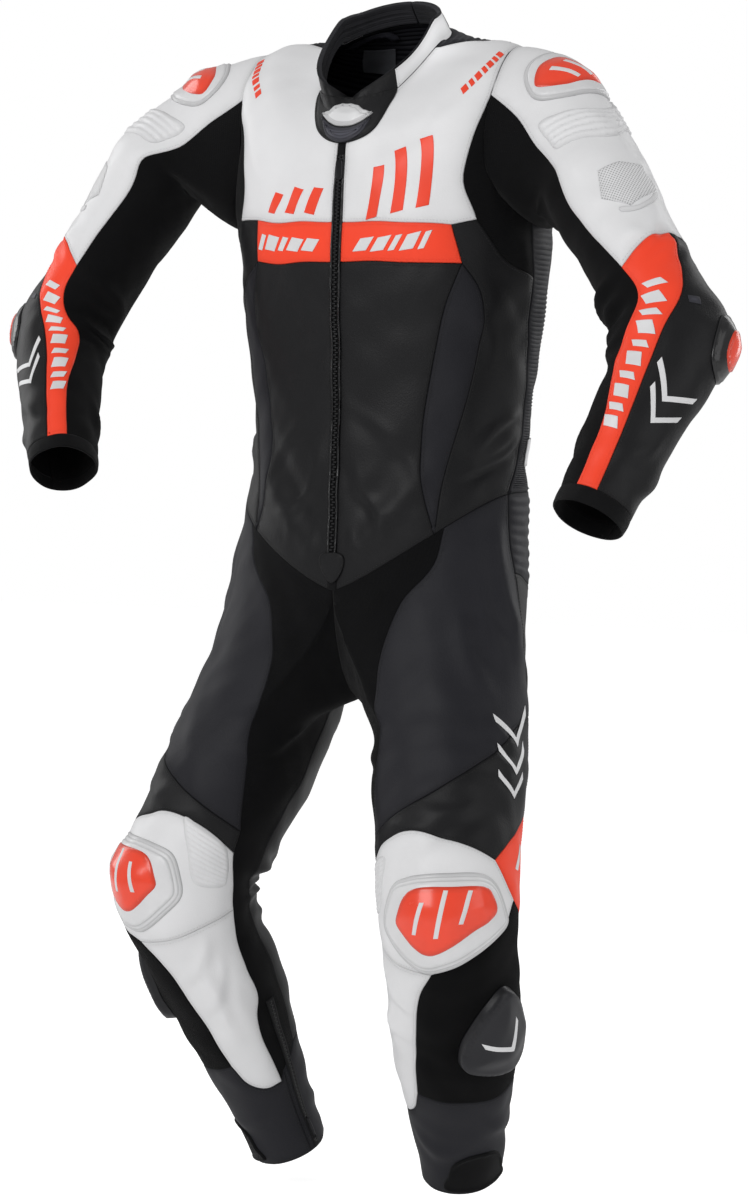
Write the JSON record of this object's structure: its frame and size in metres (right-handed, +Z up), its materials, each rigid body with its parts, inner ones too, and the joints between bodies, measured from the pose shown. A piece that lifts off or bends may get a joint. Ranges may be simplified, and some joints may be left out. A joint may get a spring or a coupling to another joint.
{
  "type": "motorcycle race suit",
  "caption": "One-piece leather motorcycle race suit, filled out as worn, with stand collar, bent sleeves and legs, knee, elbow and shoulder cups, knee sliders and front zip.",
  "frame": {"origin": "inside the neck opening on the body's axis, at the height of the collar seam's sides, where the wearer's shoulders and neck carry the suit", "axes": "+X towards the wearer's left, -Y towards the wearer's front, +Z up along the wearer"},
  "size_m": [0.9187, 0.356, 1.2917],
  "materials": {
    "white_leather": "smooth grained white cowhide",
    "orange_leather": "fluorescent orange-red leather",
    "black_leather": "black cowhide, satin",
    "slate_leather": "matt dark grey leather",
    "ribbed_leather": "accordion ribbed leather",
    "black_stretch": "black elastic aramid fabric",
    "neoprene": "black neoprene edging and lining",
    "armour_orange": "moulded orange shell",
    "armour_black": "moulded black shell",
    "slider_pad": "dark grey knee slider",
    "zip_tape": "black zip tape",
    "zip_metal": "dark metal pull"
  },
  "bodies": {
    "root": {"collar": "white_leather", "collar_lining": "neoprene", "throat": "black_leather", "zip": "zip_tape", "zip_base_tab": "black_leather", "zip_pull": "zip_metal", "back_yoke": "ribbed_leather", "back_panel": "black_leather", "chest_left": "white_leather", "chest_right": "white_leather", "band_left": "orange_leather", "band_right": "orange_leather", "front_left": "black_leather", "front_right": "black_leather", "leaf_left": "slate_leather", "leaf_right": "slate_leather", "side_front_left": "black_leather", "side_front_right": "black_leather", "side_stretch_left": "black_stretch", "side_stretch_right": "black_stretch", "flank_left": "ribbed_leather", "flank_right": "ribbed_leather", "sleeve_outer_left": "white_leather", "sleeve_outer_right": "white_leather", "sleeve_inner_left": "black_stretch", "sleeve_inner_right": "black_stretch", "sleeve_stripe_left": "orange_leather", "sleeve_stripe_right": "orange_leather", "forearm_left": "black_leather", "forearm_right": "black_leather", "elbow_cup_left": "armour_black", "elbow_cup_right": "armour_black", "shoulder_cup_left": "armour_orange", "shoulder_cup_right": "armour_orange", "cuff_left": "neoprene", "cuff_right": "neoprene", "lumbar_ribs_left": "ribbed_leather", "lumbar_ribs_right": "ribbed_leather", "leg_inner_left": "black_stretch", "leg_inner_right": "black_stretch", "thigh_front_left": "slate_leather", "thigh_front_right": "slate_leather", "thigh_lower_left": "black_leather", "thigh_lower_right": "black_leather", "knee_flash_left": "orange_leather", "knee_flash_right": "orange_leather", "leg_back_left": "black_leather", "leg_back_right": "black_leather", "knee_left": "white_leather", "knee_right": "white_leather", "knee_cup_left": "armour_orange", "knee_cup_right": "armour_orange", "shin_white_left": "white_leather", "shin_white_right": "white_leather", "shin_patch_left": "black_stretch", "shin_patch_right": "black_stretch", "knee_slider_left": "slider_pad", "knee_slider_right": "slider_pad", "ankle_left": "slate_leather", "ankle_right": "slate_leather"}
  },
  "joints": []
}
